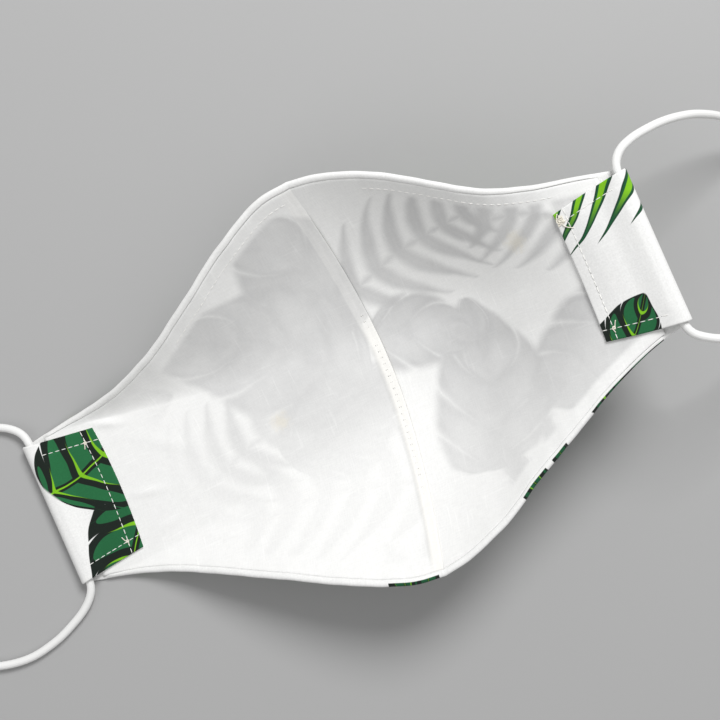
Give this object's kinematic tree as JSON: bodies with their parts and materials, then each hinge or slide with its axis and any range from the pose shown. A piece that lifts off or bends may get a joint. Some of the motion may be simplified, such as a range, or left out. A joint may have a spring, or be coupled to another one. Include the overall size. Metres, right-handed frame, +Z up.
{
  "type": "cloth face mask",
  "caption": "Shaped reusable cloth face mask with ear loops, opened out and lying on its printed outer face, so that the white lining and the folded casings show.",
  "frame": {"origin": "on the table, in the middle of the mask without its ear loops", "axes": "+X from the casing that lies on the table to the raised casing, +Y from the chin edge to the nose edge, +Z up out of the cup"},
  "size_m": [0.3736, 0.147, 0.0533],
  "materials": {
    "printed_cotton": "plain woven cotton with a green leaf print, matte",
    "lining_cotton": "plain woven white cotton, matte",
    "ear_elastic": "round knitted white elastic, soft sheen"
  },
  "bodies": {
    "root": {"outer_panel_left": "printed_cotton", "outer_panel_right": "printed_cotton", "casing_left": "printed_cotton", "casing_right": "printed_cotton", "lining_left": "lining_cotton", "lining_right": "lining_cotton", "ear_loop_left": "ear_elastic", "ear_loop_right": "ear_elastic"}
  },
  "joints": []
}
